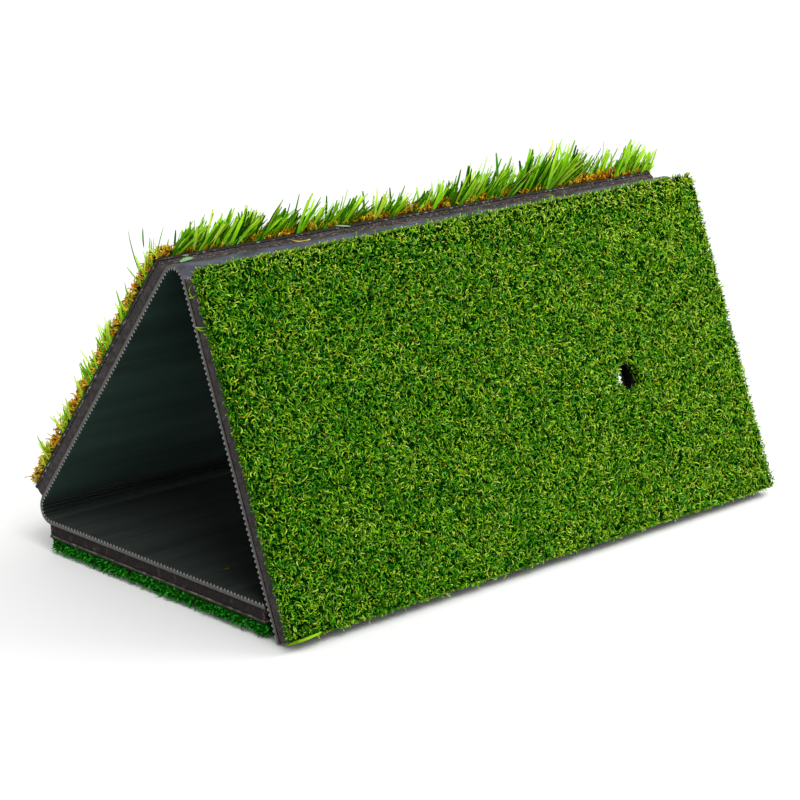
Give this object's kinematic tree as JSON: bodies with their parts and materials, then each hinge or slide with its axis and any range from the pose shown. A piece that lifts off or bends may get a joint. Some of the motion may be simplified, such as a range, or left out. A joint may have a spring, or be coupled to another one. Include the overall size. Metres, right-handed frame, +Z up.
{
  "type": "golf hitting mat",
  "caption": "Folding golf hitting mat stood up as a tent: tee, rough and fairway turf on foam pads, joined by a ribbed rubber sheet that folds between them.",
  "frame": {"origin": "on the floor, under the centre of the standing mat's bounding box", "axes": "+X along the folds, -Y towards the fairway panel, +Z up; the mat stands on its tee panel, turf down"},
  "size_m": [0.406, 0.2642, 0.2149],
  "materials": {
    "ribbed_rubber": "moulded, satin black, with a slight bloom on the ribs",
    "foam_pad": "cut closed-cell foam rubber, matt dark brown-grey",
    "contact_adhesive": "dried contact adhesive, tan",
    "latex_coat": "pale grey latex",
    "primary_backing": "woven polypropylene, dark",
    "fairway_turf": "short curled polyethylene yarn, mixed greens",
    "tee_turf": "dense cut pile, saturated green",
    "rough_blades": "long polyethylene blades, mixed greens, semi-gloss",
    "rough_thatch": "curled polypropylene thatch, rust and yellow"
  },
  "bodies": {
    "tee_panel": {"tee_base": "ribbed_rubber", "tee_latex_coat": "latex_coat", "tee_pad": "foam_pad", "tee_pad_adhesive": "contact_adhesive", "tee_pile": "tee_turf", "tee_primary_backing": "primary_backing"},
    "rear_hinge": {"rear_hinge_web": "ribbed_rubber"},
    "rough_panel": {"rough_base": "ribbed_rubber", "rough_blades": "rough_blades", "rough_latex_coat": "latex_coat", "rough_pad": "foam_pad", "rough_pad_adhesive": "contact_adhesive", "rough_primary_backing": "primary_backing", "rough_thatch": "rough_thatch"},
    "apex_hinge": {"apex_hinge_web": "ribbed_rubber"},
    "fairway_panel": {"fairway_base": "ribbed_rubber", "fairway_latex_coat": "latex_coat", "fairway_pad": "foam_pad", "fairway_pad_adhesive": "contact_adhesive", "fairway_pile": "fairway_turf", "fairway_primary_backing": "primary_backing"}
  },
  "joints": [
    {"name": "rear_fold_lower", "type": "hinge", "parent": "tee_panel", "child": "rear_hinge", "pos_m": [0, 0.10134, 0.019], "axis": [-1, 0, 0], "range_deg": [0, 64.24], "deforming": ["rear_hinge_web"]},
    {"name": "rear_fold_upper", "type": "hinge", "parent": "rear_hinge", "child": "rough_panel", "pos_m": [0, 0.1059, 0.02846], "axis": [-1, 0, 0], "range_deg": [0, 64.24]},
    {"name": "apex_fold_rough_side", "type": "hinge", "parent": "rough_panel", "child": "apex_hinge", "pos_m": [0, -0.02689, 0.19564], "axis": [-1, 0, 0], "range_deg": [0, 59.83], "deforming": ["apex_hinge_web"]},
    {"name": "apex_fold_fairway_side", "type": "hinge", "parent": "apex_hinge", "child": "fairway_panel", "pos_m": [0, -0.03728, 0.19412], "axis": [-1, 0, 0], "range_deg": [0, 59.83]}
  ],
  "couplings": [
    {"joint": "rear_fold_upper", "follows": "rear_fold_lower", "ratio": 1},
    {"joint": "apex_fold_fairway_side", "follows": "apex_fold_rough_side", "ratio": 1}
  ]
}
